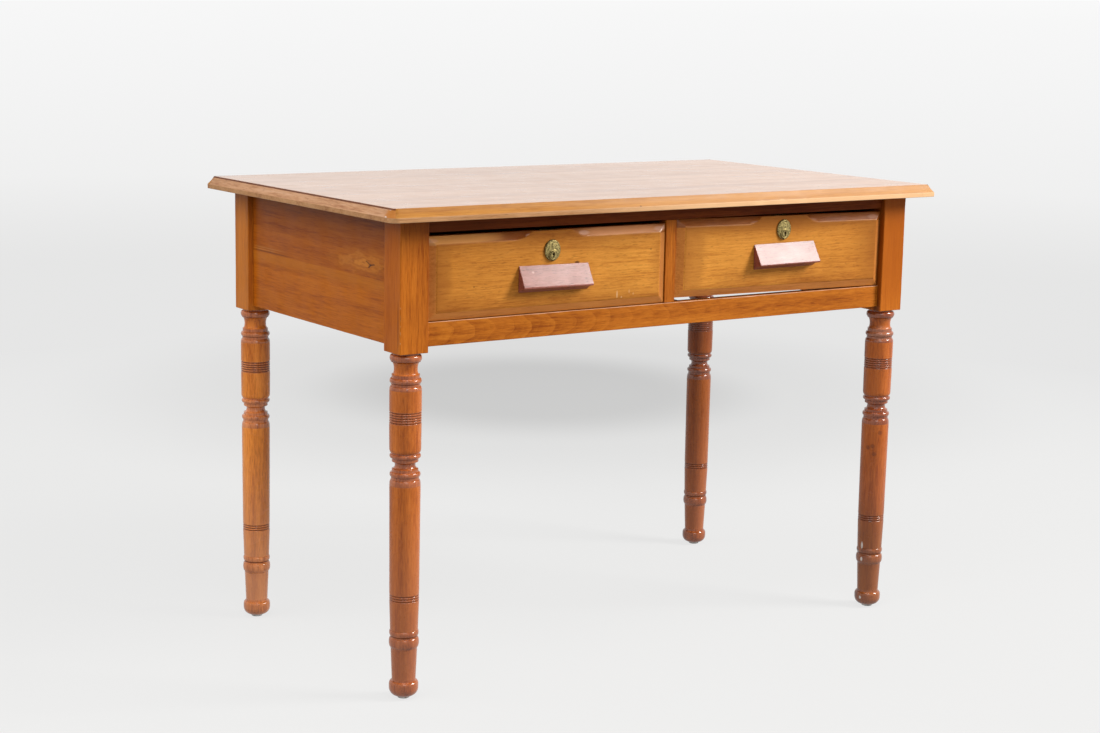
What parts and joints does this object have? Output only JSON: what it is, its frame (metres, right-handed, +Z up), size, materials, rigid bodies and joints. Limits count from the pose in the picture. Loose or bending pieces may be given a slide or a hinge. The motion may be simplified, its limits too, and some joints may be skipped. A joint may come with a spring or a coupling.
{
  "type": "writing desk",
  "caption": "Wooden writing desk on turned legs, with a moulded overhanging top and side-by-side locking drawers with chamfered fronts and wedge pulls.",
  "frame": {"origin": "middle of the desk in plan, at floor level", "axes": "+X to the right along the front, +Y to the back, +Z up; the drawers open towards -Y"},
  "size_m": [1.067, 0.61, 0.7495],
  "materials": {
    "top_wood": "polished reddish brown",
    "post_wood": "polished warm brown",
    "apron_wood": "polished reddish brown",
    "rail_wood": "polished golden brown, wavy figure",
    "drawer_front_wood": "polished golden brown",
    "pull_wood": "glossy red brown",
    "inner_wood": "bare",
    "brass": "dull, worn",
    "steel": "worn"
  },
  "bodies": {
    "frame": {"desk_top": "top_wood", "back_apron": "apron_wood", "upper_front_rail": "rail_wood", "lower_front_rail": "rail_wood", "centre_divider": "rail_wood", "runner_packing": "inner_wood", "drawer_runner_centre": "inner_wood", "drawer_guide_centre": "inner_wood", "kicker_centre": "inner_wood", "leg_front_left": "post_wood", "leg_back_left": "post_wood", "glide_front_left": "steel", "glide_back_left": "steel", "side_apron_left": "apron_wood", "drawer_runner_left": "inner_wood", "drawer_guide_left": "inner_wood", "kicker_left": "inner_wood", "drawer_stop_left": "inner_wood", "glue_block_left": "inner_wood", "leg_front_right": "post_wood", "leg_back_right": "post_wood", "glide_front_right": "steel", "glide_back_right": "steel", "side_apron_right": "apron_wood", "drawer_runner_right": "inner_wood", "drawer_guide_right": "inner_wood", "kicker_right": "inner_wood", "drawer_stop_right": "inner_wood", "glue_block_right": "inner_wood"},
    "left_drawer": {"left_drawer_front": "drawer_front_wood", "left_drawer_left_side": "inner_wood", "left_drawer_right_side": "inner_wood", "left_drawer_back": "inner_wood", "left_drawer_bottom": "inner_wood", "left_drawer_pull": "pull_wood", "left_lock_cylinder": "brass", "left_lock_case": "brass"},
    "left_plug": {"left_lock_plug": "brass"},
    "left_bolt": {"left_lock_bolt": "brass"},
    "right_drawer": {"right_drawer_front": "drawer_front_wood", "right_drawer_left_side": "inner_wood", "right_drawer_right_side": "inner_wood", "right_drawer_back": "inner_wood", "right_drawer_bottom": "inner_wood", "right_drawer_pull": "pull_wood", "right_lock_cylinder": "brass", "right_lock_case": "brass"},
    "right_plug": {"right_lock_plug": "brass"},
    "right_bolt": {"right_lock_bolt": "brass"}
  },
  "joints": [
    {"name": "left_drawer_slide", "type": "slide", "parent": "frame", "child": "left_drawer", "axis": [0, -1, 0], "range_m": [0, 0.34]},
    {"name": "left_plug_turn", "type": "hinge", "parent": "left_drawer", "child": "left_plug", "pos_m": [-0.2322, -0.2685, 0.6654], "axis": [0, 1, 0], "range_deg": [0, 180]},
    {"name": "left_bolt_lift", "type": "slide", "parent": "left_drawer", "child": "left_bolt", "axis": [0, 0, 1], "range_m": [0, 0.011]},
    {"name": "right_drawer_slide", "type": "slide", "parent": "frame", "child": "right_drawer", "axis": [0, -1, 0], "range_m": [0, 0.34]},
    {"name": "right_plug_turn", "type": "hinge", "parent": "right_drawer", "child": "right_plug", "pos_m": [0.22914, -0.2685, 0.67632], "axis": [0, 1, 0], "range_deg": [0, 180]},
    {"name": "right_bolt_lift", "type": "slide", "parent": "right_drawer", "child": "right_bolt", "axis": [0.0132, 0, 0.9999], "range_m": [0, 0.011]}
  ],
  "couplings": [
    {"joint": "left_plug_turn", "follows": "left_bolt_lift", "rad_per_m": 285.59},
    {"joint": "right_plug_turn", "follows": "right_bolt_lift", "rad_per_m": 285.59}
  ]
}
